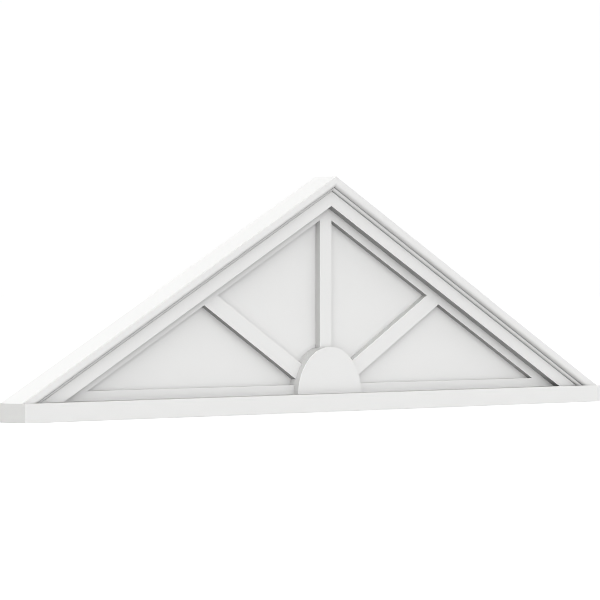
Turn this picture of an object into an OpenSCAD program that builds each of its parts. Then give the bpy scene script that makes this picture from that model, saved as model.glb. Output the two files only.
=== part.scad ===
// Classical pediment: a low triangular door or window head with a wheel of spokes around a
// half-round hub. It is built up in layers from solid boards, and its back is one flat plane.
// The origin is the middle of the underside, halfway between the back and the front.
// X runs across the opening, the front looks toward -Y, and Z is up.

/* [Overall] */
// Width of the base board, and of the roof line above it
span_w = 1828.8; // [1200:0.1:3000]
// Roof pitch, as the rise for each 12 of run
pitch_rise = 6; // [5:0.5:10]

/* [Base board] */
// Height of the base board
base_h = 36.8; // [20:0.1:80]
// How far the base board stands out in front of the rake moulding
base_proud = 9.65; // [2:0.05:60]

/* [Layers] */
// Thickness of the panel, which lies against the wall
panel_t = 18; // [6:0.1:30]
// Thickness of the spoke frame, which is laid on the panel
frame_t = 12.7; // [4:0.1:30]
// Thickness of the rake boards, which are laid on the spoke frame
rake_board_t = 16.3; // [6:0.1:40]
// Thickness of the half-round hub, which is laid on the spoke frame
hub_t = 12; // [4:0.1:40]

/* [Rake moulding] */
// How far the rake moulding stands out in front of the rake boards
mould_proud = 13.2; // [12:0.1:40]
// Width of the flat fascia next to the roof line
fascia_w = 11.8; // [4:0.1:40]
// Width of the outer ovolo
outer_ovolo_w = 8.9; // [4:0.1:20]
// Fall of the outer ovolo, from the fascia back to its fillet
outer_ovolo_fall = 6.7; // [2:0.1:8]
// Drop of the square fillet between the outer ovolo and the quirk
fillet_drop = 0.7; // [0.2:0.1:1]
// Width of the quirk, the narrow flat between the two ovolos
quirk_w = 0.5; // [0.2:0.1:4]
// Width of the inner ovolo, which falls from the quirk to the moulding's inner edge
inner_ovolo_w = 6.2; // [3:0.1:20]
// Drop of the square inner edge, from the inner ovolo to the rake boards
edge_drop = 1; // [0.2:0.1:2]

/* [Rake boards] */
// Width of each rake board, square to the roof line
rake_board_w = 28.4; // [15:0.1:60]

/* [Spoke frame] */
// Width of the frame that shows inside each rake board
frame_reveal = 18.5; // [6:0.1:40]
// Height of the bottom rail above the base board
rail_h = 19.6; // [6:0.1:40]
// Width of each spoke
spoke_w = 36.6; // [15:0.1:60]
// Slope of the two slanting spokes, up from the base board
spoke_angle = 29; // [24:0.5:40]
// Radius of the half-round hub
hub_r = 101.6; // [60:0.1:140]
// How far the hub's centre lies below the top of the base board
hub_drop = 3; // [0:0.1:20]

/* [Hidden] */

// Sides of a full circle, and steps in each ovolo's quarter curve
circle_steps = 180;
ovolo_steps = 14;
// How far a tool body reaches past what it cuts
over = 20;

// The roof line's slope, rise and height
rake_angle = atan2(pitch_rise, 12);
rise = span_w / 2 * tan(rake_angle);
ridge_z = base_h + rise;
rake_len = rise / sin(rake_angle);

// The layers' front planes, as depths in front of the wall
panel_front = panel_t;
frame_front = panel_front + frame_t;
hub_front = frame_front + hub_t;
rake_board_front = frame_front + rake_board_t;
mould_d = rake_board_front + mould_proud;
base_d = mould_d + base_proud;
wall_y = base_d / 2;

// Insets square to the roof line: inner edge of the moulding, the rake boards and the frame
mould_w = fascia_w + outer_ovolo_w + quirk_w + inner_ovolo_w;
rake_board_in = mould_w + rake_board_w;
frame_in = rake_board_in + frame_reveal;
quirk_d = mould_d - outer_ovolo_fall - fillet_drop;
inner_ovolo_fall = quirk_d - edge_drop - rake_board_front;
spoke_len = span_w;

// Height of the ridge, and half the width on the base board, of a roof line moved in by inset
function peak_z(inset) = ridge_z - inset / cos(rake_angle);
function foot_x(inset) = span_w / 2 - inset / sin(rake_angle);

// Points of a quarter ellipse that starts level with the fascia and ends facing inward
function ovolo(start, w, fall) = [
    for (i = [0:ovolo_steps])
        let (a = 90 * i / ovolo_steps)
        [start[0] + w * sin(a), start[1] - fall * (1 - cos(a))]
];

// The triangle under a roof line that is moved in by inset, standing on the base board
module gable(inset) {
    polygon([[-foot_x(inset), base_h], [foot_x(inset), base_h], [0, peak_z(inset)]]);
}

// An elevation drawing made solid between two depths in front of the wall
module layer(back, front) {
    translate([0, wall_y - back, 0])
        rotate([90, 0, 0])
            linear_extrude(height = front - back)
                children();
}

// Everything on the left of the middle and above the base board
module left_half() {
    translate([-span_w, -base_d, base_h])
        cube([span_w, 2 * base_d, 2 * rise]);
}

module hub_disc() {
    translate([0, base_h - hub_drop])
        circle(r = hub_r, $fn = circle_steps);
}

module spoke(slope) {
    translate([0, base_h])
        rotate(slope)
            translate([0, -spoke_w / 2])
                square([spoke_len, spoke_w]);
}

// The four open fields of the spoke frame
module fields() {
    difference() {
        intersection() {
            gable(frame_in);
            translate([-span_w, base_h + rail_h])
                square([2 * span_w, 2 * rise]);
        }
        hub_disc();
        for (slope = [spoke_angle, 90, 180 - spoke_angle])
            spoke(slope);
    }
}

// The rake moulding's section: X is the inset from the roof line, Y the depth from the wall
module mould_section() {
    quirk_in = fascia_w + outer_ovolo_w;
    polygon(concat(
        [[0, 0], [0, mould_d]],
        ovolo([fascia_w, mould_d], outer_ovolo_w, outer_ovolo_fall),
        [[quirk_in, quirk_d]],
        ovolo([quirk_in + quirk_w, quirk_d], inner_ovolo_w, inner_ovolo_fall),
        [[mould_w, 0]]
    ));
}

module base_board() {
    color("whitesmoke")
        translate([-span_w / 2, wall_y - base_d, 0])
            cube([span_w, base_d, base_h]);
}

module back_panel() {
    color("gainsboro")
        layer(0, panel_front)
            gable(mould_w);
}

module spoke_frame() {
    color("white")
        layer(panel_front, frame_front)
            difference() {
                gable(mould_w);
                fields();
            }
}

module half_round_hub() {
    color("ivory")
        layer(frame_front, hub_front)
            intersection() {
                hub_disc();
                translate([-hub_r - over, base_h])
                    square([2 * (hub_r + over), hub_r + over]);
            }
}

module left_rake_board() {
    color("whitesmoke")
        layer(frame_front, rake_board_front)
            polygon([
                [-foot_x(mould_w), base_h],
                [-foot_x(rake_board_in), base_h],
                [0, peak_z(rake_board_in)],
                [0, peak_z(mould_w)]
            ]);
}

module right_rake_board() {
    mirror([1, 0, 0])
        left_rake_board();
}

module left_rake_moulding() {
    color("snow")
        intersection() {
            left_half();
            translate([0, wall_y, ridge_z])
                rotate([0, 90 - rake_angle, 0])
                    rotate([180, 0, 0])
                        translate([0, 0, -over])
                            linear_extrude(height = rake_len + 2 * over)
                                mould_section();
        }
}

module right_rake_moulding() {
    mirror([1, 0, 0])
        left_rake_moulding();
}

base_board();
back_panel();
spoke_frame();
half_round_hub();
left_rake_board();
right_rake_board();
left_rake_moulding();
right_rake_moulding();
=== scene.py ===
"""The finished looks of a classical pediment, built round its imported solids.

The pediment is shop-made from white cellular PVC: a panel, a spoke frame cut from one sheet, a
half-round hub, two rake boards and two rake mouldings, all standing on a base board. Every piece
here stands for one of those solids, with eased arrises, smooth ovolos and the finish of the
sheet's calendered skins, its cut edges and the moulded trim.
"""

import logging
import math
from dataclasses import dataclass
from enum import Enum
from typing import Any, Sequence

import bmesh
import bpy
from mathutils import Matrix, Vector


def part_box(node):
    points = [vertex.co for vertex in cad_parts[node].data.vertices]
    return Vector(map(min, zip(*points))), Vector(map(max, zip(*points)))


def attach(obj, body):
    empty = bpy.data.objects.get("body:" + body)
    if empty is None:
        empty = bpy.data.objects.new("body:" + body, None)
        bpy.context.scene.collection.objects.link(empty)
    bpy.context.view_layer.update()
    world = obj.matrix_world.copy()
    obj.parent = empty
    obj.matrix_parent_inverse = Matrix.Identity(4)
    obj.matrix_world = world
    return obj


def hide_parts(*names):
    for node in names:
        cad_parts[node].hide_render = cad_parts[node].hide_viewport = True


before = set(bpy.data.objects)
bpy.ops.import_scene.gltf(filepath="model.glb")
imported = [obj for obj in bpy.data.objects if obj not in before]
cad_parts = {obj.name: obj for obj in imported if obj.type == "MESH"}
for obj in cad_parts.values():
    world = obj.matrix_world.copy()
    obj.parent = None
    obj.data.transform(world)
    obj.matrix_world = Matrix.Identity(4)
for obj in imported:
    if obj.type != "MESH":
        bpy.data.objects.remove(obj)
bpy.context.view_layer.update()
LOG = logging.getLogger("pediment")
BODY = "root"
MM = 0.001

# points nearer than this are one, and a mitre's edges lie this near the middle plane
MERGE = 0.001 * MM
GLUE_LINE = 0.01 * MM

# the rake boards' width, from which the spoke frame's strips are set out too
RAKE_BOARD_WIDTH = 28.4 * MM

# how an arris is eased: its facets, and the bends that are eased or keep a crisp shade
ARRIS_STEPS = 3
EASED_ABOVE = math.radians(30)
SHARP_ABOVE = math.radians(12)


class Side(Enum):
    """Which half of the gable a piece lies in, as the sign of its X."""

    LEFT = -1
    RIGHT = 1

    @property
    def word(self) -> str:
        """The side's name, as the node names spell it."""
        return self.name.lower()


class Arris(Enum):
    """How far a maker eases an edge, in metres."""

    SHEET = 0.5 * MM
    MOULDING = 0.35 * MM


# ---------------------------------------------------------------- small shared helpers


def hex_linear(code: str) -> tuple[float, float, float, float]:
    """Turn an sRGB hex colour into linear RGBA.

    Args:
        code: Six hex digits, with or without a leading hash.

    Returns:
        Linear red, green and blue, and an alpha of 1.
    """
    digits = code.lstrip("#")
    srgb = [int(digits[i:i + 2], 16) / 255 for i in (0, 2, 4)]
    linear = [c / 12.92 if c <= 0.04045 else ((c + 0.055) / 1.055) ** 2.4 for c in srgb]
    return (linear[0], linear[1], linear[2], 1.0)


def add_node(
    tree: bpy.types.NodeTree,
    kind: str,
    settings: dict[str, Any] | None = None,
    inputs: dict[Any, Any] | None = None,
) -> bpy.types.Node:
    """Add one node with its settings and what goes into its sockets.

    Args:
        tree: The node tree that gets the node.
        kind: The node's type name.
        settings: Attributes to set on the node.
        inputs: Socket name, or number where the names repeat, to a plain value or to an output
            socket to link.

    Returns:
        The new node.
    """
    node = tree.nodes.new(kind)
    for name, value in (settings or {}).items():
        setattr(node, name, value)
    for key, value in (inputs or {}).items():
        if isinstance(value, bpy.types.NodeSocket):
            tree.links.new(value, node.inputs[key])
        else:
            node.inputs[key].default_value = value
    return node


def empty_tree(owner: bpy.types.Material | bpy.types.World) -> bpy.types.NodeTree:
    """Switch nodes on for a material or a world and clear them.

    Args:
        owner: The material or world.

    Returns:
        Its empty node tree.
    """
    owner.use_nodes = True
    owner.node_tree.nodes.clear()
    return owner.node_tree


def link_object(name: str, mesh: bpy.types.Mesh) -> bpy.types.Object:
    """Make an object of a mesh and put it in the scene.

    Args:
        name: The object's name.
        mesh: Its mesh, already in place.

    Returns:
        The new object, at the origin.
    """
    obj = bpy.data.objects.new(name, mesh)
    bpy.context.scene.collection.objects.link(obj)
    return obj


def bake_modifiers(obj: bpy.types.Object) -> None:
    """Turn an object's modifiers into a plain mesh and remove them.

    Args:
        obj: The object, whose old mesh is dropped.
    """
    graph = bpy.context.evaluated_depsgraph_get()
    graph.update()
    made = bpy.data.meshes.new_from_object(obj.evaluated_get(graph), depsgraph=graph)
    old = obj.data
    obj.modifiers.clear()
    obj.data = made
    made.name = obj.name
    bpy.data.meshes.remove(old)


def ease_arrises(obj: bpy.types.Object, arris: Arris, mitred: bool = False) -> None:
    """Round every sharp edge of a piece a little, as sanding does, and shade its curves smooth.

    Args:
        obj: The piece.
        arris: How far the rounding reaches from the edge.
        mitred: Whether the piece has a glued mitre in the middle plane, which stays sharp and tight.
    """
    shell = bmesh.new()
    shell.from_mesh(obj.data)
    bmesh.ops.remove_doubles(shell, verts=shell.verts, dist=MERGE)
    bmesh.ops.recalc_face_normals(shell, faces=shell.faces)
    weight = shell.edges.layers.float.new("bevel_weight_edge")
    for edge in shell.edges:
        glued = mitred and all(abs(vert.co.x) < GLUE_LINE for vert in edge.verts)
        edge[weight] = float(edge.calc_face_angle(0.0) > EASED_ABOVE and not glued)
    shell.to_mesh(obj.data)
    shell.free()
    bevel = obj.modifiers.new("eased arris", "BEVEL")
    bevel.width = arris.value
    bevel.segments = ARRIS_STEPS
    bevel.limit_method = "WEIGHT"
    bevel.use_clamp_overlap = True
    bake_modifiers(obj)
    for polygon in obj.data.polygons:
        polygon.use_smooth = True
    obj.data.set_sharp_from_angle(angle=SHARP_ABOVE)


def prism(
    name: str, outline: Sequence[tuple[float, float]], back: float, front: float
) -> bpy.types.Object:
    """Make an elevation outline solid between two planes.

    Args:
        name: The object's name.
        outline: Corners as X and Z, in order.
        back: Y of the back plane.
        front: Y of the front plane.

    Returns:
        A closed object with outward normals.
    """
    shape = bmesh.new()
    rear = [shape.verts.new((x, back, z)) for x, z in outline]
    face = shape.faces.new(rear)
    grown = bmesh.ops.extrude_face_region(shape, geom=[face])["geom"]
    moved = [g for g in grown if isinstance(g, bmesh.types.BMVert)]
    bmesh.ops.translate(shape, verts=moved, vec=(0, front - back, 0))
    bmesh.ops.recalc_face_normals(shape, faces=shape.faces)
    mesh = bpy.data.meshes.new(name)
    shape.to_mesh(mesh)
    shape.free()
    return link_object(name, mesh)


# ---------------------------------------------------------------- the roof that all pieces share


@dataclass(frozen=True)
class Roof:
    """The lines that every piece is set out from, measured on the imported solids.

    Lengths are in metres. An inset is a distance square to the roof line, towards the middle.
    """

    half_span: float
    base_top: float
    ridge_z: float
    wall_y: float
    slope: float

    @classmethod
    def measured(cls) -> "Roof":
        """Read the roof from the base board and the left rake moulding.

        Returns:
            The roof.
        """
        _, board_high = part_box("base_board")
        run_low, run_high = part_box("left_rake_moulding")
        slope = math.atan2(run_high.z - run_low.z, run_high.x - run_low.x)
        return cls(board_high.x, board_high.z, run_high.z, board_high.y, slope)

    def peak(self, inset: float) -> float:
        """Height of the ridge of a roof line that is moved in by inset."""
        return self.ridge_z - inset / math.cos(self.slope)

    def foot(self, inset: float) -> float:
        """Half the width, on the base board, of a roof line that is moved in by inset."""
        return self.half_span - inset / math.sin(self.slope)

    def inset_of(self, foot: float) -> float:
        """The inset of the roof line that meets the base board at foot."""
        return (self.half_span - foot) * math.sin(self.slope)


@dataclass(frozen=True)
class HubCircle:
    """The circle of which the half-round hub is the top part, in metres."""

    centre_z: float
    radius: float

    @classmethod
    def measured(cls) -> "HubCircle":
        """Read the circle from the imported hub, an arc that stands on a chord.

        Returns:
            The circle.
        """
        low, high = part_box("half_round_hub")
        tall = high.z - low.z
        radius = (high.x * high.x + tall * tall) / (2 * tall)
        return cls(high.z - radius, radius)


# ---------------------------------------------------------------- finishes


@dataclass(frozen=True)
class BoardFinish:
    """White cellular PVC trim board, satin, calendered on its skins and sawn or routed on its edges.

    The eye gets a soft even white. The skins have a broad weak sheen, faint draw lines along the
    board and a slight orange peel. The cut edges are drier, finely open where the blade went
    through the cells, and crossed by low cutter marks. Sizes are real ones in millimetres, save
    the draw lines and cells: at 0.3 mm they would not show, and they are drawn two to three
    times as coarse.
    """

    name: str
    slope: float = 0.0
    skin: str = "#F0F0EF"
    cut: str = "#EDEDEB"
    skin_roughness: float = 0.40
    cut_roughness: float = 0.58
    draw_mm: float = 0.9
    draw_length_mm: float = 240.0
    draw_height_mm: float = 0.003
    peel_mm: float = 6.0
    peel_height_mm: float = 0.012
    batch_mm: float = 170.0
    cell_mm: float = 0.7
    cell_depth_mm: float = 0.03
    cutter_mm: float = 2.4
    cutter_height_mm: float = 0.006
    batch_tone: float = 0.988
    batch_range: tuple[float, float] = (0.3, 0.7)
    # how dark the painted shade inside a cut edge's open cells is
    cell_tone: float = 0.95
    cell_wall: tuple[float, float] = (0.15, 0.55)
    skin_facing: tuple[float, float] = (0.80, 0.95)
    sheen_break: float = 0.06
    ior: float = 1.53

    def skin_mask(self, tree: bpy.types.NodeTree, normal: bpy.types.NodeSocket) -> bpy.types.NodeSocket:
        """Tell the calendered skins, which face the wall or the front, from the cut edges.

        Args:
            tree: The material's tree.
            normal: The face's true normal.

        Returns:
            1 on a skin and 0 on a cut edge.
        """
        depthwise = add_node(
            tree, "ShaderNodeVectorMath", {"operation": "DOT_PRODUCT"}, {0: normal, 1: (0.0, 1.0, 0.0)}
        )
        size = add_node(tree, "ShaderNodeMath", {"operation": "ABSOLUTE"}, {0: depthwise.outputs["Value"]})
        start, full = self.skin_facing
        mask = add_node(
            tree,
            "ShaderNodeMapRange",
            inputs={"Value": size.outputs[0], "From Min": start, "From Max": full},
        )
        return mask.outputs[0]

    def cutter_path(
        self, tree: bpy.types.NodeTree, place: bpy.types.NodeSocket, normal: bpy.types.NodeSocket
    ) -> bpy.types.NodeSocket:
        """Measure how far along a straight edge the cutter has gone.

        Args:
            tree: The material's tree.
            place: The point, in metres.
            normal: The face's true normal.

        Returns:
            The distance along the edge, in metres.
        """
        along = add_node(
            tree, "ShaderNodeVectorMath", {"operation": "CROSS_PRODUCT"}, {0: normal, 1: (0.0, 1.0, 0.0)}
        )
        path = add_node(
            tree,
            "ShaderNodeVectorMath",
            {"operation": "DOT_PRODUCT"},
            {0: place, 1: along.outputs["Vector"]},
        )
        return path.outputs["Value"]

    def skin_patterns(
        self, tree: bpy.types.NodeTree, place: bpy.types.NodeSocket
    ) -> tuple[bpy.types.NodeSocket, bpy.types.NodeSocket, bpy.types.NodeSocket]:
        """Add the patterns of a calendered skin, which run along the board.

        Args:
            tree: The material's tree.
            place: The point, in metres.

        Returns:
            The draw lines, the orange peel and the slow change of a batch.
        """
        board = add_node(
            tree, "ShaderNodeMapping", inputs={"Vector": place, "Rotation": (0.0, self.slope, 0.0)}
        ).outputs[0]
        stretch = (1 / (self.draw_length_mm * MM), 1 / (self.draw_mm * MM), 1 / (self.draw_mm * MM))
        drawn = add_node(tree, "ShaderNodeVectorMath", {"operation": "MULTIPLY"}, {0: board, 1: stretch})
        lines = add_node(
            tree, "ShaderNodeTexNoise", inputs={"Vector": drawn.outputs[0], "Scale": 1.0, "Detail": 2.0}
        )
        peel = add_node(
            tree,
            "ShaderNodeTexNoise",
            inputs={"Vector": board, "Scale": 1 / (self.peel_mm * MM), "Detail": 1.0},
        )
        batch = add_node(
            tree,
            "ShaderNodeTexNoise",
            inputs={"Vector": board, "Scale": 1 / (self.batch_mm * MM), "Detail": 2.0},
        )
        return lines.outputs["Fac"], peel.outputs["Fac"], batch.outputs["Fac"]

    def cut_patterns(
        self, tree: bpy.types.NodeTree, place: bpy.types.NodeSocket, normal: bpy.types.NodeSocket
    ) -> tuple[bpy.types.NodeSocket, bpy.types.NodeSocket]:
        """Add the patterns of a cut edge.

        Args:
            tree: The material's tree.
            place: The point, in metres.
            normal: The face's true normal.

        Returns:
            The open cells, 0 inside one and 1 on its wall, and the cutter's marks.
        """
        cells = add_node(
            tree, "ShaderNodeTexVoronoi", inputs={"Vector": place, "Scale": 1 / (self.cell_mm * MM)}
        ).outputs["Distance"]
        start, full = self.cell_wall
        walls = add_node(
            tree, "ShaderNodeMapRange", inputs={"Value": cells, "From Min": start, "From Max": full}
        )
        path = self.cutter_path(tree, place, normal)
        pace = math.tau / (self.cutter_mm * MM)
        turns = add_node(tree, "ShaderNodeMath", {"operation": "MULTIPLY"}, {0: path, 1: pace})
        marks = add_node(tree, "ShaderNodeMath", {"operation": "SINE"}, {0: turns.outputs[0]})
        return walls.outputs[0], marks.outputs[0]

    def tone(
        self,
        tree: bpy.types.NodeTree,
        skin: bpy.types.NodeSocket,
        batch: bpy.types.NodeSocket,
        walls: bpy.types.NodeSocket,
    ) -> bpy.types.NodeSocket:
        """Mix the colour: a skin varies with the batch, and a cut edge gets painted shade inside its open
        cells.

        Args:
            tree: The material's tree.
            skin: 1 on a skin and 0 on a cut edge.
            batch: The slow change of a batch.
            walls: The open cells.

        Returns:
            The colour.
        """
        least, most = self.batch_range
        slow = add_node(
            tree,
            "ShaderNodeMapRange",
            inputs={"Value": batch, "From Min": least, "From Max": most, "To Min": self.batch_tone},
        )
        # painted shade: the cut edge's colour darkens inside each open cell
        pit_shade = add_node(tree, "ShaderNodeMapRange", inputs={"Value": walls, "To Min": self.cell_tone})
        skin_tone = add_node(
            tree,
            "ShaderNodeVectorMath",
            {"operation": "SCALE"},
            {0: hex_linear(self.skin)[:3], "Scale": slow.outputs[0]},
        )
        # the cut edge's own colour, with the painted shade of its cells
        cut_colour_and_pit_shade = add_node(
            tree,
            "ShaderNodeVectorMath",
            {"operation": "SCALE"},
            {0: hex_linear(self.cut)[:3], "Scale": pit_shade.outputs[0]},
        )
        mixed = add_node(
            tree,
            "ShaderNodeMix",
            {"data_type": "RGBA"},
            {"Factor": skin, "A": cut_colour_and_pit_shade.outputs[0], "B": skin_tone.outputs[0]},
        )
        return mixed.outputs["Result"]

    def roughness(
        self,
        tree: bpy.types.NodeTree,
        skin: bpy.types.NodeSocket,
        lines: bpy.types.NodeSocket,
        peel: bpy.types.NodeSocket,
    ) -> bpy.types.NodeSocket:
        """Mix the roughness: the peel and the draw lines break up a skin's sheen a little.

        Args:
            tree: The material's tree.
            skin: 1 on a skin and 0 on a cut edge.
            lines: The draw lines.
            peel: The orange peel.

        Returns:
            The roughness.
        """
        broken = add_node(tree, "ShaderNodeMath", {"operation": "ADD"}, {0: peel, 1: lines})
        gloss = add_node(
            tree,
            "ShaderNodeMapRange",
            inputs={"Value": skin, "To Min": self.cut_roughness, "To Max": self.skin_roughness},
        )
        rough = add_node(
            tree,
            "ShaderNodeMath",
            {"operation": "MULTIPLY_ADD"},
            {0: broken.outputs[0], 1: self.sheen_break, 2: gloss.outputs[0]},
        )
        return rough.outputs[0]

    def relief(
        self,
        tree: bpy.types.NodeTree,
        skin: bpy.types.NodeSocket,
        skin_parts: tuple[bpy.types.NodeSocket, bpy.types.NodeSocket],
        cut_parts: tuple[bpy.types.NodeSocket, bpy.types.NodeSocket],
    ) -> bpy.types.NodeSocket:
        """Mix the relief, whose heights are in millimetres.

        Args:
            tree: The material's tree.
            skin: 1 on a skin and 0 on a cut edge.
            skin_parts: The draw lines and the orange peel.
            cut_parts: The open cells and the cutter's marks.

        Returns:
            The normal.
        """
        lines, peel = skin_parts
        walls, marks = cut_parts
        heights = []
        for fine, fine_mm, broad, broad_mm in (
            (marks, self.cutter_height_mm, walls, self.cell_depth_mm),
            (lines, self.draw_height_mm, peel, self.peel_height_mm),
        ):
            low = add_node(tree, "ShaderNodeMath", {"operation": "MULTIPLY"}, {0: fine, 1: fine_mm})
            both = add_node(
                tree,
                "ShaderNodeMath",
                {"operation": "MULTIPLY_ADD"},
                {0: broad, 1: broad_mm, 2: low.outputs[0]},
            )
            heights.append(both.outputs[0])
        height = add_node(
            tree, "ShaderNodeMapRange", inputs={"Value": skin, "To Min": heights[0], "To Max": heights[1]}
        )
        bump = add_node(tree, "ShaderNodeBump", inputs={"Distance": MM, "Height": height.outputs[0]})
        return bump.outputs[0]

    def build(self) -> bpy.types.Material:
        """Make the material.

        Returns:
            The node material.
        """
        made = bpy.data.materials.new(self.name)
        tree = empty_tree(made)
        place = add_node(tree, "ShaderNodeTexCoord").outputs["Object"]
        normal = add_node(tree, "ShaderNodeNewGeometry").outputs["True Normal"]
        skin = self.skin_mask(tree, normal)
        lines, peel, batch = self.skin_patterns(tree, place)
        walls, marks = self.cut_patterns(tree, place, normal)
        body = add_node(
            tree,
            "ShaderNodeBsdfPrincipled",
            inputs={
                "Base Color": self.tone(tree, skin, batch, walls),
                "Roughness": self.roughness(tree, skin, lines, peel),
                "IOR": self.ior,
                "Normal": self.relief(tree, skin, (lines, peel), (walls, marks)),
            },
        )
        add_node(tree, "ShaderNodeOutputMaterial", inputs={"Surface": body.outputs[0]})
        return made


@dataclass(frozen=True)
class RoundFinish(BoardFinish):
    """The same board routed to a round edge, so its cutter marks step round the rim."""

    centre_z: float = 0.0
    radius: float = 1.0

    def cutter_path(
        self, tree: bpy.types.NodeTree, place: bpy.types.NodeSocket, normal: bpy.types.NodeSocket
    ) -> bpy.types.NodeSocket:
        """Measure how far round the rim the cutter has gone.

        Args:
            tree: The material's tree.
            place: The point, in metres.
            normal: The face's true normal, which a round edge doesn't need.

        Returns:
            The distance along the rim, in metres.
        """
        part = add_node(tree, "ShaderNodeSeparateXYZ", inputs={"Vector": place})
        rise = add_node(
            tree, "ShaderNodeMath", {"operation": "SUBTRACT"}, {0: part.outputs["Z"], 1: self.centre_z}
        )
        angle = add_node(
            tree, "ShaderNodeMath", {"operation": "ARCTAN2"}, {0: rise.outputs[0], 1: part.outputs["X"]}
        )
        path = add_node(
            tree, "ShaderNodeMath", {"operation": "MULTIPLY"}, {0: angle.outputs[0], 1: self.radius}
        )
        return path.outputs[0]


@dataclass(frozen=True)
class MouldedFinish(BoardFinish):
    """White cellular PVC moulding, satin, drawn through a die and mitred with a saw.

    The eye gets one smooth skin all round the section, with lines drawn out along the run. Only
    the mitred ends show cells and saw marks.
    """

    end_facing: tuple[float, float] = (0.20, 0.35)

    def skin_mask(self, tree: bpy.types.NodeTree, normal: bpy.types.NodeSocket) -> bpy.types.NodeSocket:
        """Tell the drawn faces, which lie along the run, from the sawn ends.

        Args:
            tree: The material's tree.
            normal: The face's true normal.

        Returns:
            1 on a drawn face and 0 on a sawn end.
        """
        run = (math.cos(self.slope), 0.0, math.sin(self.slope))
        endwise = add_node(tree, "ShaderNodeVectorMath", {"operation": "DOT_PRODUCT"}, {0: normal, 1: run})
        size = add_node(tree, "ShaderNodeMath", {"operation": "ABSOLUTE"}, {0: endwise.outputs["Value"]})
        start, full = self.end_facing
        mask = add_node(
            tree,
            "ShaderNodeMapRange",
            inputs={
                "Value": size.outputs[0],
                "From Min": start,
                "From Max": full,
                "To Min": 1.0,
                "To Max": 0.0,
            },
        )
        return mask.outputs[0]


# ---------------------------------------------------------------- geometry node helpers


def node_inputs(group: bpy.types.NodeTree, kinds: dict[str, str]) -> Any:
    """Give a geometry node group its named inputs.

    Args:
        group: The node group.
        kinds: Input name to socket kind, such as Float. The first is the geometry it works on.

    Returns:
        The outputs of its Group Input node, by name.
    """
    for name, kind in kinds.items():
        group.interface.new_socket(name=name, in_out="INPUT", socket_type=f"NodeSocket{kind}")
    return add_node(group, "NodeGroupInput").outputs


def run_nodes(obj: bpy.types.Object, group: bpy.types.NodeTree, values: dict[str, Any]) -> None:
    """Run a geometry node group on an object and keep the plain mesh.

    Args:
        obj: The object.
        group: The node group.
        values: Input name to value.
    """
    keys = {
        item.name: item.identifier
        for item in group.interface.items_tree
        if item.item_type == "SOCKET" and item.in_out == "INPUT"
    }
    modifier = obj.modifiers.new(group.name, "NODES")
    modifier.node_group = group
    for name, value in values.items():
        modifier[keys[name]] = value
    bake_modifiers(obj)


def finish_group(
    group: bpy.types.NodeTree, shape: bpy.types.NodeSocket, finish: bpy.types.NodeSocket
) -> None:
    """End a geometry node group with Realize Instances and Set Material.

    Args:
        group: The node group.
        shape: The finished geometry.
        finish: The material input.
    """
    whole = add_node(group, "GeometryNodeRealizeInstances", inputs={"Geometry": shape})
    dressed = add_node(
        group, "GeometryNodeSetMaterial", inputs={"Geometry": whole.outputs[0], "Material": finish}
    )
    add_node(group, "NodeGroupOutput", inputs={0: dressed.outputs[0]})


# ---------------------------------------------------------------- pieces


@dataclass
class Piece:
    """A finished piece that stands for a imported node."""

    roof: Roof

    def dress(
        self, obj: bpy.types.Object, node: str, slot: str, finish: bpy.types.Material
    ) -> bpy.types.Object:
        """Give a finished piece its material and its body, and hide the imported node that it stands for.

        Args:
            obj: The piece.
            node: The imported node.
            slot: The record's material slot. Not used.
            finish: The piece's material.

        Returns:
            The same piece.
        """
        obj.data.materials.clear()
        obj.data.materials.append(finish)
        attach(obj, BODY)
        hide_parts(node)
        LOG.info("%s: %d faces, %s", obj.name, len(obj.data.polygons), finish.name)
        return obj


@dataclass
class BaseBoard(Piece):
    """The flat board along the bottom."""

    def build(self, finish: bpy.types.Material) -> bpy.types.Object:
        """Make the board with eased edges.

        Args:
            finish: The piece's material.

        Returns:
            The finished piece.
        """
        low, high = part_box("base_board")
        outline = [(low.x, low.z), (high.x, low.z), (high.x, high.z), (low.x, high.z)]
        obj = prism("base_board_finished", outline, high.y, low.y)
        ease_arrises(obj, Arris.SHEET)
        return self.dress(obj, "base_board", "pvc_base_board", finish)


@dataclass
class BackPanel(Piece):
    """The triangular panel behind the spokes."""

    def build(self, finish: bpy.types.Material) -> bpy.types.Object:
        """Make the panel with eased edges.

        Args:
            finish: The piece's material.

        Returns:
            The finished piece.
        """
        low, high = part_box("back_panel")
        outline = [(low.x, low.z), (high.x, low.z), (0.0, high.z)]
        obj = prism("back_panel_finished", outline, high.y, low.y)
        ease_arrises(obj, Arris.SHEET)
        return self.dress(obj, "back_panel", "pvc_back_panel", finish)


@dataclass
class RakeBoard(Piece):
    """One of the two wide boards along the roof line, mitred at the ridge."""

    side: Side
    width: float = RAKE_BOARD_WIDTH

    def build(self, finish: bpy.types.Material) -> bpy.types.Object:
        """Make the board with eased edges.

        Args:
            finish: The piece's material.

        Returns:
            The finished piece.
        """
        node = f"{self.side.word}_rake_board"
        turn = self.side.value
        low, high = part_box(node)
        outer = self.roof.inset_of(max(turn * low.x, turn * high.x))
        inner = outer + self.width
        outline = [
            (turn * self.roof.foot(outer), low.z),
            (turn * self.roof.foot(inner), low.z),
            (0.0, self.roof.peak(inner)),
            (0.0, self.roof.peak(outer)),
        ]
        obj = prism(f"{node}_finished", outline, high.y, low.y)
        ease_arrises(obj, Arris.SHEET, mitred=True)
        return self.dress(obj, node, "pvc_rake_board", finish)


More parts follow.
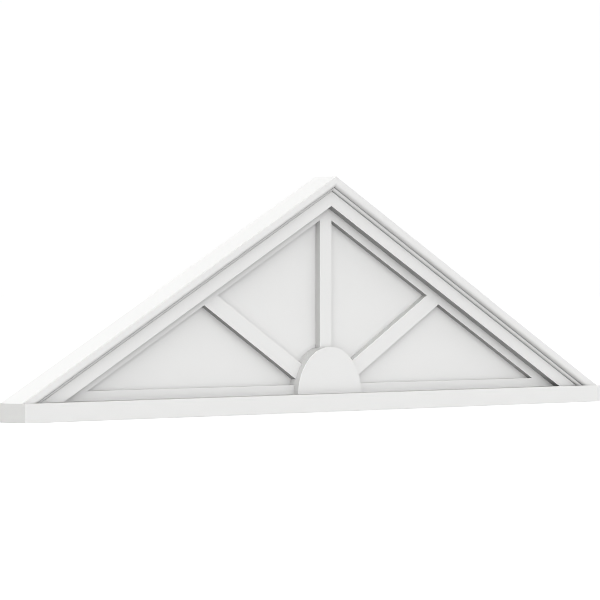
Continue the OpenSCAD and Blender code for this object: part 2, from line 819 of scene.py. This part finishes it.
@dataclass
class Hub(Piece):
    """The half-round block in the middle."""

    circle: HubCircle
    steps: int = 120

    def build(self, finish: bpy.types.Material) -> bpy.types.Object:
        """Make the block as an arc closed by a chord on the base board.

        Args:
            finish: The piece's material.

        Returns:
            The finished piece.
        """
        low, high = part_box("half_round_hub")
        start = math.asin((low.z - self.circle.centre_z) / self.circle.radius)
        angles = [start + (math.pi - 2 * start) * i / self.steps for i in range(self.steps + 1)]
        radius, centre = self.circle.radius, self.circle.centre_z
        outline = [(radius * math.cos(a), centre + radius * math.sin(a)) for a in angles]
        obj = prism("half_round_hub_finished", outline, high.y, low.y)
        ease_arrises(obj, Arris.SHEET)
        return self.dress(obj, "half_round_hub", "pvc_hub", finish)


@dataclass
class SpokeFrame(Piece):
    """The plate of strips and spokes, cut from one sheet."""

    circle: HubCircle
    board_width: float = RAKE_BOARD_WIDTH
    reveal: float = 18.5 * MM
    rail: float = 19.6 * MM
    spoke_width: float = 36.6 * MM
    spoke_slope: float = math.radians(29)
    spokes: int = 3
    steps: int = 240

    def spoke_nodes(self, group: bpy.types.NodeTree, value: Any) -> bpy.types.NodeSocket:
        """Add the nodes that instance the spokes round the hub, as plain bars.

        Args:
            group: The node group.
            value: The outputs of its Group Input node.

        Returns:
            The bars as one mesh.
        """
        size = add_node(
            group,
            "ShaderNodeCombineXYZ",
            inputs={"X": value["Spoke length"], "Y": value["Cut depth"], "Z": value["Spoke width"]},
        )
        bar = add_node(group, "GeometryNodeMeshCube", inputs={"Size": size.outputs[0]})
        half = add_node(
            group, "ShaderNodeMath", {"operation": "MULTIPLY"}, {0: value["Spoke length"], 1: 0.5}
        )
        shift = add_node(group, "ShaderNodeCombineXYZ", inputs={"X": half.outputs[0]})
        spoke = add_node(
            group,
            "GeometryNodeTransform",
            inputs={"Geometry": bar.outputs["Mesh"], "Translation": shift.outputs[0]},
        )
        centres = add_node(
            group,
            "GeometryNodeMeshLine",
            inputs={
                "Count": value["Spokes"],
                "Start Location": value["Origin"],
                "Offset": (0.0, 0.0, 0.0),
            },
        )
        index = add_node(group, "GeometryNodeInputIndex")
        slope = add_node(
            group,
            "ShaderNodeMath",
            {"operation": "MULTIPLY_ADD"},
            {0: index.outputs[0], 1: value["Slope step"], 2: value["First slope"]},
        )
        upward = add_node(
            group, "ShaderNodeMath", {"operation": "MULTIPLY"}, {0: slope.outputs[0], 1: -1.0}
        )
        turn = add_node(group, "ShaderNodeCombineXYZ", inputs={"Y": upward.outputs[0]})
        ring = add_node(
            group,
            "GeometryNodeInstanceOnPoints",
            inputs={
                "Points": centres.outputs[0],
                "Instance": spoke.outputs[0],
                "Rotation": turn.outputs[0],
            },
        )
        bars = add_node(group, "GeometryNodeRealizeInstances", inputs={"Geometry": ring.outputs[0]})
        return bars.outputs[0]

    def disc_nodes(self, group: bpy.types.NodeTree, value: Any) -> bpy.types.NodeSocket:
        """Add the nodes that stand the disc under the hub upright in its place.

        Args:
            group: The node group.
            value: The outputs of its Group Input node.

        Returns:
            The disc.
        """
        disc = add_node(
            group,
            "GeometryNodeMeshCylinder",
            inputs={
                "Vertices": value["Hub steps"],
                "Radius": value["Hub radius"],
                "Depth": value["Cut depth"],
            },
        )
        placed = add_node(
            group,
            "GeometryNodeTransform",
            inputs={
                "Geometry": disc.outputs["Mesh"],
                "Translation": value["Hub centre"],
                "Rotation": (math.pi / 2, 0.0, 0.0),
            },
        )
        return placed.outputs[0]

    def field_nodes(self, group: bpy.types.NodeTree, value: Any) -> bpy.types.NodeSocket:
        """Add the nodes that shape the open fields.

        The fields are the opening inside the strips, less the spokes and less the hub's disc.

        Args:
            group: The node group.
            value: The outputs of its Group Input node.

        Returns:
            The fields as one mesh.
        """
        kept = add_node(group, "GeometryNodeJoinGeometry")
        for part in (self.spoke_nodes(group, value), self.disc_nodes(group, value)):
            group.links.new(part, kept.inputs[0])
        opening = add_node(group, "GeometryNodeObjectInfo", inputs={"Object": value["Opening"]})
        fields = add_node(
            group,
            "GeometryNodeMeshBoolean",
            {"operation": "DIFFERENCE", "solver": "EXACT"},
            {"Mesh 1": opening.outputs["Geometry"], "Mesh 2": kept.outputs[0], "Self Intersection": True},
        )
        return fields.outputs["Mesh"]

    def tree(self) -> bpy.types.NodeTree:
        """Build the node group that cuts the fields out of a plate.

        Returns:
            The node group, whose geometry input is the uncut plate.
        """
        group = bpy.data.node_groups.new("spoke frame", "GeometryNodeTree")
        group.interface.new_socket(name="Frame", in_out="OUTPUT", socket_type="NodeSocketGeometry")
        kinds = {
            "Plate": "Geometry",
            "Opening": "Object",
            "Finish": "Material",
            "Spokes": "Int",
            "First slope": "Float",
            "Slope step": "Float",
            "Spoke width": "Float",
            "Spoke length": "Float",
            "Cut depth": "Float",
            "Origin": "Vector",
            "Hub radius": "Float",
            "Hub centre": "Vector",
            "Hub steps": "Int",
        }
        value = node_inputs(group, kinds)
        cut = add_node(
            group,
            "GeometryNodeMeshBoolean",
            {"operation": "DIFFERENCE", "solver": "EXACT"},
            {"Mesh 1": value["Plate"], "Mesh 2": self.field_nodes(group, value)},
        )
        finish_group(group, cut.outputs["Mesh"], value["Finish"])
        return group

    def build(self, finish: bpy.types.Material) -> bpy.types.Object:
        """Make the plate, cut its fields and ease its edges.

        Args:
            finish: The piece's material.

        Returns:
            The finished piece.
        """
        low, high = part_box("spoke_frame")
        depth = high.y - low.y
        middle = (low.y + high.y) / 2
        plate = [(low.x, low.z), (high.x, low.z), (0.0, high.z)]
        obj = prism("spoke_frame_finished", plate, high.y, low.y)
        inner = self.roof.inset_of(high.x) + self.board_width + self.reveal
        half = self.roof.foot(inner) - self.rail / math.tan(self.roof.slope)
        rail_top = low.z + self.rail
        hole = [(-half, rail_top), (half, rail_top), (0.0, self.roof.peak(inner))]
        # the opening reaches past both skins, and what is left in it reaches past the opening
        past = depth
        cutter = prism("opening_cutter", hole, high.y + past, low.y - past)
        run_nodes(
            obj,
            self.tree(),
            {
                "Opening": cutter,
                "Finish": finish,
                "Spokes": self.spokes,
                "First slope": self.spoke_slope,
                "Slope step": math.pi / 2 - self.spoke_slope,
                "Spoke width": self.spoke_width,
                "Spoke length": self.roof.half_span,
                "Cut depth": depth + 4 * past,
                "Origin": (0.0, middle, low.z),
                "Hub radius": self.circle.radius,
                "Hub centre": (0.0, middle, self.circle.centre_z),
                "Hub steps": self.steps,
            },
        )
        bpy.data.objects.remove(cutter)
        ease_arrises(obj, Arris.SHEET)
        return self.dress(obj, "spoke_frame", "pvc_spoke_frame", finish)


@dataclass
class RakeMoulding(Piece):
    """One outer moulding, mitred at the ridge and cut level at its foot.

    Its section is a flat fascia, an outer ovolo, a small square fillet, a quirk, and an inner
    ovolo that ends in a square edge on the rake board.
    """

    side: Side
    fascia: float = 11.8 * MM
    outer_width: float = 8.9 * MM
    outer_fall: float = 6.7 * MM
    fillet: float = 0.7 * MM
    quirk: float = 0.5 * MM
    inner_edge: float = 1.0 * MM
    steps: int = 24

    def ovolo(self, start: tuple[float, float], width: float, fall: float) -> list[tuple[float, float]]:
        """Points of a quarter ellipse that starts level and ends facing inward.

        Args:
            start: Inset and depth of its first point.
            width: How far it goes inward.
            fall: How far it falls towards the wall.

        Returns:
            Its points, as inset and depth.
        """
        angles = [math.pi / 2 * i / self.steps for i in range(self.steps + 1)]
        return [(start[0] + width * math.sin(a), start[1] - fall * (1 - math.cos(a))) for a in angles]

    def section(self) -> list[tuple[float, float]]:
        """Work out the moulding's section.

        Returns:
            Its corners in order, as inset from the roof line and depth from the wall.
        """
        low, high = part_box("left_rake_moulding")
        board_low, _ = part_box("left_rake_board")
        panel_low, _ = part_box("back_panel")
        depth = high.y - low.y
        seat = high.y - board_low.y
        width = self.roof.inset_of(abs(panel_low.x))
        step = self.fascia + self.outer_width
        inner_start = step + self.quirk
        quirk_depth = depth - self.outer_fall - self.fillet
        points = [(0.0, 0.0), (0.0, depth)]
        points += self.ovolo((self.fascia, depth), self.outer_width, self.outer_fall)
        points.append((step, quirk_depth))
        inner_fall = quirk_depth - seat - self.inner_edge
        points += self.ovolo((inner_start, quirk_depth), width - inner_start, inner_fall)
        points.append((width, 0.0))
        return points

    def mitre_nodes(
        self, group: bpy.types.NodeTree, value: Any, along: bpy.types.NodeSocket
    ) -> bpy.types.NodeSocket:
        """Add the nodes that slide each end along the run onto its own cutting plane.

        The ridge end is cut on the plane of its X, and the foot on the plane of its Z.

        Args:
            group: The node group.
            value: The outputs of its Group Input node.
            along: 0 at the ridge and 1 at the foot.

        Returns:
            How far each point moves.
        """
        run = add_node(
            group, "ShaderNodeVectorMath", {"operation": "SUBTRACT"}, {0: value["Foot"], 1: value["Ridge"]}
        )
        run_part = add_node(group, "ShaderNodeSeparateXYZ", inputs={"Vector": run.outputs[0]})
        here = add_node(group, "GeometryNodeInputPosition")
        slides = []
        for end, axis in (("Ridge", "X"), ("Foot", "Z")):
            gap = add_node(
                group,
                "ShaderNodeVectorMath",
                {"operation": "SUBTRACT"},
                {0: value[end], 1: here.outputs[0]},
            )
            gap_part = add_node(group, "ShaderNodeSeparateXYZ", inputs={"Vector": gap.outputs[0]})
            slide = add_node(
                group,
                "ShaderNodeMath",
                {"operation": "DIVIDE"},
                {0: gap_part.outputs[axis], 1: run_part.outputs[axis]},
            )
            slides.append(slide.outputs[0])
        chosen = add_node(
            group,
            "ShaderNodeMix",
            {"data_type": "FLOAT"},
            {"Factor": along, "A": slides[0], "B": slides[1]},
        )
        move = add_node(
            group,
            "ShaderNodeVectorMath",
            {"operation": "SCALE"},
            {0: run.outputs[0], "Scale": chosen.outputs[0]},
        )
        return move.outputs[0]

    def tree(self) -> bpy.types.NodeTree:
        """Build the node group that sweeps a section along the roof line and mitres both ends.

        Returns:
            The node group, whose geometry input is the section, drawn as a loop of edges with X as
            the depth from the wall and Y as the inset.
        """
        group = bpy.data.node_groups.new("mitred moulding run", "GeometryNodeTree")
        group.interface.new_socket(name="Moulding", in_out="OUTPUT", socket_type="NodeSocketGeometry")
        kinds = {"Section": "Geometry", "Ridge": "Vector", "Foot": "Vector", "Finish": "Material"}
        value = node_inputs(group, kinds)
        loop = add_node(group, "GeometryNodeMeshToCurve", inputs={"Mesh": value["Section"]})
        line = add_node(
            group, "GeometryNodeCurvePrimitiveLine", inputs={"Start": value["Ridge"], "End": value["Foot"]}
        )
        upright = add_node(
            group, "GeometryNodeSetCurveNormal", {"mode": "Z_UP"}, {"Curve": line.outputs[0]}
        )
        marked = add_node(group, "GeometryNodeCaptureAttribute", {"domain": "POINT"})
        marked.capture_items.new("FLOAT", "Along")
        group.links.new(upright.outputs[0], marked.inputs["Geometry"])
        along = add_node(group, "GeometryNodeSplineParameter")
        group.links.new(along.outputs["Factor"], marked.inputs["Along"])
        bar = add_node(
            group,
            "GeometryNodeCurveToMesh",
            inputs={"Curve": marked.outputs[0], "Profile Curve": loop.outputs[0], "Fill Caps": True},
        )
        mitred = add_node(
            group,
            "GeometryNodeSetPosition",
            inputs={
                "Geometry": bar.outputs[0],
                "Offset": self.mitre_nodes(group, value, marked.outputs["Along"]),
            },
        )
        finish_group(group, mitred.outputs[0], value["Finish"])
        return group

    def build(self, finish: bpy.types.Material) -> bpy.types.Object:
        """Sweep the moulding and ease its edges.

        Args:
            finish: The piece's material.

        Returns:
            The finished piece.
        """
        node = f"{self.side.word}_rake_moulding"
        name = f"{node}_finished"
        turn = self.side.value
        points = [(turn * depth, inset, 0.0) for inset, depth in self.section()]
        count = len(points)
        mesh = bpy.data.meshes.new(name)
        mesh.from_pydata(points, [(i, (i + 1) % count) for i in range(count)], [])
        obj = link_object(name, mesh)
        run_nodes(
            obj,
            self.tree(),
            {
                "Ridge": (0.0, self.roof.wall_y, self.roof.ridge_z),
                "Foot": (turn * self.roof.half_span, self.roof.wall_y, self.roof.base_top),
                "Finish": finish,
            },
        )
        ease_arrises(obj, Arris.MOULDING, mitred=True)
        return self.dress(obj, node, "pvc_moulding", finish)


# ---------------------------------------------------------------- studio


@dataclass(frozen=True)
class SoftLight:
    """A wide soft light far off. Its turn is from straight in front, and minus is to the left."""

    name: str
    turn: float
    height: float
    brightness: float
    spread: float = math.radians(70)

    def build(self) -> None:
        """Make the light. A white face square to it is as bright as its brightness says."""
        data = bpy.data.lights.new(self.name, "SUN")
        data.energy = math.pi * self.brightness
        data.angle = self.spread
        obj = bpy.data.objects.new(self.name, data)
        bpy.context.scene.collection.objects.link(obj)
        flat = math.cos(self.height)
        towards = Vector((math.sin(self.turn) * flat, -math.cos(self.turn) * flat, math.sin(self.height)))
        obj.rotation_euler = towards.to_track_quat("Z", "Y").to_euler()


@dataclass(frozen=True)
class SkyBand:
    """A bright band of the studio's dome, between two heights, as the sine of the elevation."""

    low: float
    high: float
    brightness: float
    edge: float = 0.02


@dataclass(frozen=True)
class Studio:
    """A pale floor, soft light and the camera, which stands far off with a long lens."""

    camera_at: tuple[float, float, float] = (-5.4922, -4.7962, 0.2473)
    yaw: float = 0.84505
    pitch: float = -0.00185
    lens: float = 207.46
    sensor_mm: float = 36.0
    reach: float = 1000.0
    floor_size: float = 300.0
    floor_tone: str = "#FAFAFA"
    floor_glow: float = 0.35
    filter_width: float = 0.8
    lights: tuple[SoftLight, ...] = (
        SoftLight("front fill", 0.0, 0.0, 0.134),
        SoftLight("left key", math.radians(-45), 0.0, 0.440),
        SoftLight("high left key", math.radians(-50), math.radians(35), 0.212),
        SoftLight("low left fill", math.radians(-60), math.radians(-30), 0.020),
        SoftLight("right fill", math.radians(90), math.radians(10), 0.262),
        SoftLight("back fill", math.radians(180), 0.0, 0.350, math.radians(20)),
    )
    bands: tuple[SkyBand, ...] = (SkyBand(-0.02, 0.25, 1.01), SkyBand(0.60, 1.10, 1.13))

    def camera(self) -> None:
        """Make the camera."""
        data = bpy.data.cameras.new("camera")
        data.lens = self.lens
        data.sensor_width = self.sensor_mm
        data.clip_end = self.reach
        obj = bpy.data.objects.new("camera", data)
        bpy.context.scene.collection.objects.link(obj)
        flat = math.cos(self.pitch)
        look = Vector((math.sin(self.yaw) * flat, math.cos(self.yaw) * flat, math.sin(self.pitch)))
        obj.location = self.camera_at
        obj.rotation_euler = look.to_track_quat("-Z", "Y").to_euler()
        bpy.context.scene.camera = obj

    def floor(self) -> None:
        """Make the plain white floor, lit from below a little and seen by the camera alone."""
        half = self.floor_size / 2
        mesh = bpy.data.meshes.new("floor")
        corners = [(-half, -half, 0), (half, -half, 0), (half, half, 0), (-half, half, 0)]
        mesh.from_pydata(corners, [], [(0, 1, 2, 3)])
        obj = link_object("floor", mesh)
        paint = bpy.data.materials.new("white studio floor")
        tree = empty_tree(paint)
        matt = add_node(tree, "ShaderNodeBsdfDiffuse", inputs={"Color": hex_linear(self.floor_tone)})
        glow = add_node(tree, "ShaderNodeEmission", inputs={"Strength": self.floor_glow})
        both = add_node(tree, "ShaderNodeAddShader", inputs={0: matt.outputs[0], 1: glow.outputs[0]})
        add_node(tree, "ShaderNodeOutputMaterial", inputs={"Surface": both.outputs[0]})
        mesh.materials.append(paint)
        obj.visible_diffuse = False
        obj.visible_glossy = False
        obj.visible_shadow = False

    def dome(self) -> None:
        """Make the dome, whose bright bands run all round."""
        world = bpy.data.worlds.new("studio dome")
        bpy.context.scene.world = world
        tree = empty_tree(world)
        where = add_node(tree, "ShaderNodeTexCoord")
        part = add_node(tree, "ShaderNodeSeparateXYZ", inputs={"Vector": where.outputs["Generated"]})
        rise = part.outputs["Z"]
        total = 0.0
        for band in self.bands:
            above = add_node(
                tree,
                "ShaderNodeMapRange",
                inputs={"Value": rise, "From Min": band.low - band.edge, "From Max": band.low},
            )
            below = add_node(
                tree,
                "ShaderNodeMapRange",
                inputs={
                    "Value": rise,
                    "From Min": band.high,
                    "From Max": band.high + band.edge,
                    "To Min": band.brightness,
                    "To Max": 0.0,
                },
            )
            total = add_node(
                tree,
                "ShaderNodeMath",
                {"operation": "MULTIPLY_ADD"},
                {0: above.outputs[0], 1: below.outputs[0], 2: total},
            ).outputs[0]
        glow = add_node(
            tree, "ShaderNodeBackground", inputs={"Color": (1.0, 1.0, 1.0, 1.0), "Strength": total}
        )
        add_node(tree, "ShaderNodeOutputWorld", inputs={"Surface": glow.outputs[0]})

    def build(self) -> None:
        """Make all of it. The soft bands do the filling, so light isn't bounced between the pieces."""
        self.camera()
        self.floor()
        self.dome()
        for light in self.lights:
            light.build()
        bpy.context.scene.cycles.diffuse_bounces = 0
        bpy.context.scene.cycles.filter_width = self.filter_width
        bpy.context.scene.view_settings.view_transform = "Standard"


def main() -> None:
    """Build every piece and the studio."""
    logging.basicConfig(level=logging.INFO, format="%(name)s %(message)s")
    Studio().build()
    roof = Roof.measured()
    circle = HubCircle.measured()
    sheet = BoardFinish("calendered PVC sheet, satin").build()
    routed = BoardFinish("routed PVC sheet, satin", cutter_mm=1.8).build()
    rim = RoundFinish("routed PVC round, satin", centre_z=circle.centre_z, radius=circle.radius).build()
    BaseBoard(roof).build(sheet)
    BackPanel(roof).build(sheet)
    SpokeFrame(roof, circle).build(routed)
    Hub(roof, circle).build(rim)
    for side in Side:
        slope = -side.value * roof.slope
        ripped = BoardFinish(f"ripped PVC board, satin, {side.word}", slope=slope).build()
        drawn = MouldedFinish(f"drawn PVC moulding, satin, {side.word}", slope=slope).build()
        RakeBoard(roof, side).build(ripped)
        RakeMoulding(roof, side).build(drawn)


if __name__ == "__main__":
    main()
